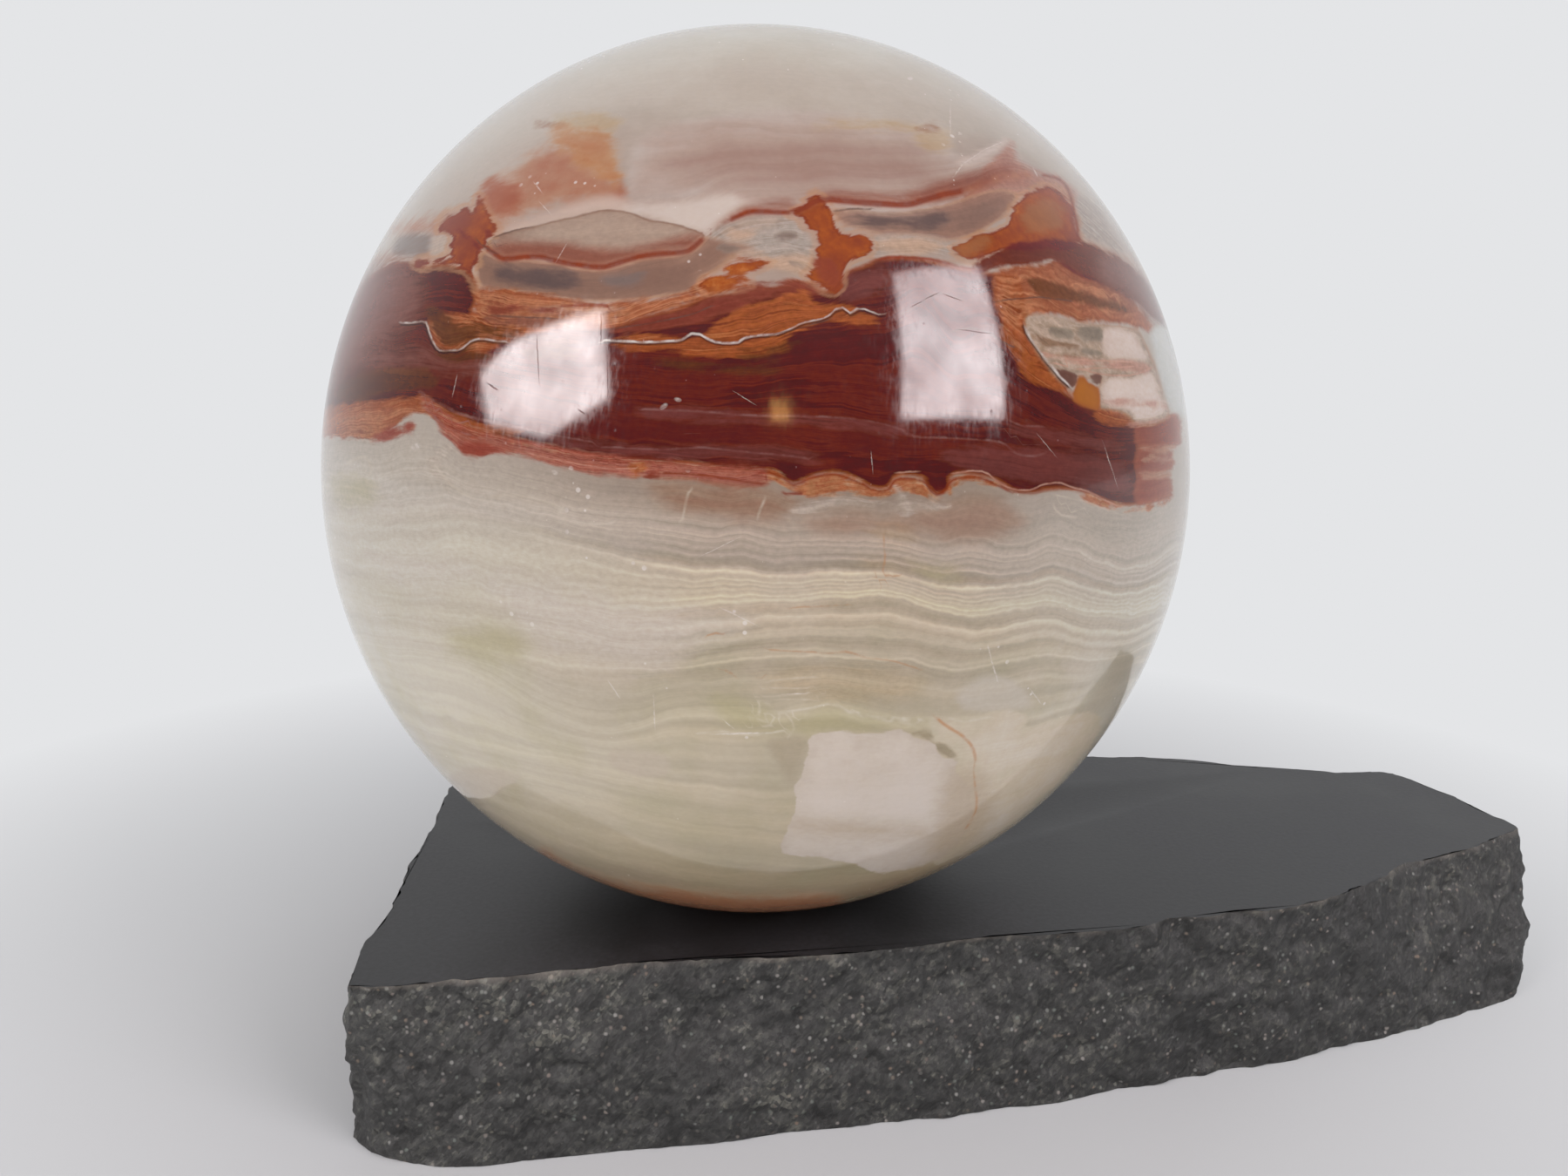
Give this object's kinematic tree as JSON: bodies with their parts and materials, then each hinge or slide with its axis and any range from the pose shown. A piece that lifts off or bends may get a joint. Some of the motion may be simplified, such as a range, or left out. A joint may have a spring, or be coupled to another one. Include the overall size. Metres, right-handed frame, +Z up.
{
  "type": "onyx ball on stone slab stand",
  "caption": "Polished ball of banded onyx resting in a shallow seat on a broken offcut of dark stone slab.",
  "frame": {"origin": "on the slab's flat underside, straight below the centre of the ball", "axes": "+Z up; +X along the slab, towards its free end; the long broken face shown in the picture looks towards -Y"},
  "size_m": [0.1572, 0.1, 0.1206],
  "materials": {
    "polished_onyx": "polished, banded grey-green and cream with a red-brown layer",
    "dark_slab_stone": "honed top, rough broken edges"
  },
  "bodies": {
    "root": {"onyx_ball": "polished_onyx", "stand_slab": "dark_slab_stone"}
  },
  "joints": []
}
